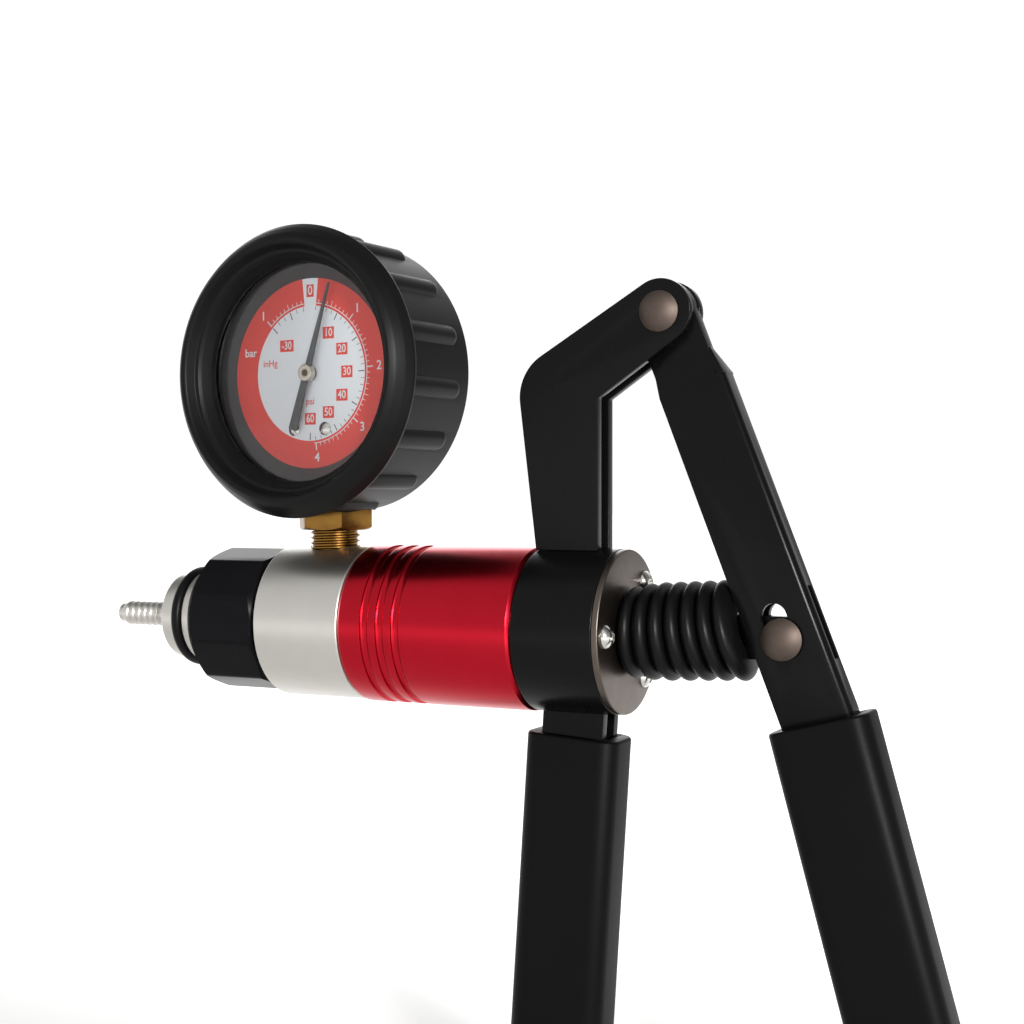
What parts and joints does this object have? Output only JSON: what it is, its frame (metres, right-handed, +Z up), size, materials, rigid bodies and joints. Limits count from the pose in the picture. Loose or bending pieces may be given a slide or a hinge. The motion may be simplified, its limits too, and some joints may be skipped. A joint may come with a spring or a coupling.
{
  "type": "hand vacuum pump with gauge",
  "caption": "Squeeze-handle vacuum and pressure pump: turned barrel and valve head, pull-out hose barb, rubber bellows over the rod, and a booted dial gauge on a brass stem.",
  "frame": {"origin": "centre of the hose barb's tip, on the pump's axis", "axes": "+X along the pump's axis from the barb to the handles, +Z up from the grips to the gauge, the dial faces -Y"},
  "size_m": [0.2393, 0.0459, 0.226],
  "materials": {
    "satin_aluminium": "satin, clear anodised",
    "red_anodised": "satin, red anodised",
    "black_anodised": "gloss, black anodised",
    "black_paint": "gloss black enamel",
    "black_rubber": "satin moulded rubber",
    "valve_rubber": "matte silicone rubber",
    "black_vinyl": "satin dipped vinyl",
    "plain_steel": "rolled steel",
    "zinc_plate": "bright zinc plate",
    "spring_steel": "ground steel",
    "nickel_rivet": "dull nickel plate",
    "brass": "turned brass",
    "acetal": "machined acetal",
    "printed_dial": "printed aluminium sheet",
    "grey_plastic": "moulded plastic",
    "grey_aluminium": "matte lacquer",
    "clear_window": "clear polycarbonate"
  },
  "bodies": {
    "pump_body": {"coupling_nut": "black_anodised", "valve_head": "satin_aluminium", "valve_plate": "satin_aluminium", "inlet_valve": "valve_rubber", "outlet_valve": "valve_rubber", "head_seal": "black_rubber", "barrel": "red_anodised", "mount_collar": "black_paint", "rod_bush": "brass", "rod_seal": "black_rubber", "end_washer": "plain_steel", "washer_screws": "zinc_plate", "return_spring": "spring_steel", "bellows": "black_rubber", "frame_arm": "black_paint", "frame_tang": "black_paint", "fixed_grip": "black_vinyl", "pivot_rivet": "nickel_rivet", "gauge_stem": "brass", "gauge_case": "black_paint", "gauge_boot": "black_rubber", "bourdon_tube": "brass", "movement_frame": "brass", "gauge_dial": "printed_dial", "dial_screws": "zinc_plate", "dial_ring": "grey_plastic", "gauge_window": "clear_window"},
    "selector": {"nozzle_plug": "satin_aluminium", "plug_o_ring": "black_rubber", "spool_clip": "spring_steel"},
    "rod": {"piston": "acetal", "piston_cup": "black_rubber", "piston_nut": "zinc_plate", "piston_rod": "spring_steel", "spring_seat": "zinc_plate", "rod_pin": "nickel_rivet"},
    "handle": {"moving_handle": "black_paint", "moving_grip": "black_vinyl"},
    "sector": {"sector_gear": "brass"},
    "link": {"tip_link": "brass"},
    "needle": {"pointer": "grey_aluminium", "pinion_arbor": "brass"}
  },
  "joints": [
    {"name": "handle_squeeze", "type": "hinge", "parent": "pump_body", "child": "handle", "pos_m": [0.162, 0, 0.0754], "axis": [0, 1, 0], "range_deg": [0, 15], "stiffness_Nm_per_rad": 4, "springref_deg": -14.32},
    {"name": "rod_slide", "type": "slide", "parent": "pump_body", "child": "rod", "axis": [1, 0, 0], "range_m": [-0.0211, 0], "deforming": ["bellows", "return_spring"]},
    {"name": "selector_slide", "type": "slide", "parent": "pump_body", "child": "selector", "axis": [1, 0, 0], "range_m": [0, 0.006]},
    {"name": "sector_swing", "type": "hinge", "parent": "pump_body", "child": "sector", "pos_m": [0.0586, 0.00105, 0.0637], "axis": [0.0872, 0.9962, 0], "range_deg": [-40.67, 15.57], "stiffness_Nm_per_rad": 0.02},
    {"name": "link_swing", "type": "hinge", "parent": "sector", "child": "link", "pos_m": [0.05419, 0.00143, 0.0637], "axis": [0.0872, 0.9962, 0], "range_deg": [-15.57, 40.67]},
    {"name": "needle_turn", "type": "hinge", "parent": "pump_body", "child": "needle", "pos_m": [0.07055, 0, 0.0637], "axis": [0.0872, 0.9962, 0], "range_deg": [-62.3, 162.7]}
  ],
  "couplings": [
    {"joint": "rod_slide", "follows": "handle_squeeze", "m_per_rad": -0.080492},
    {"joint": "link_swing", "follows": "sector_swing", "ratio": -1},
    {"joint": "needle_turn", "follows": "sector_swing", "ratio": -4}
  ]
}
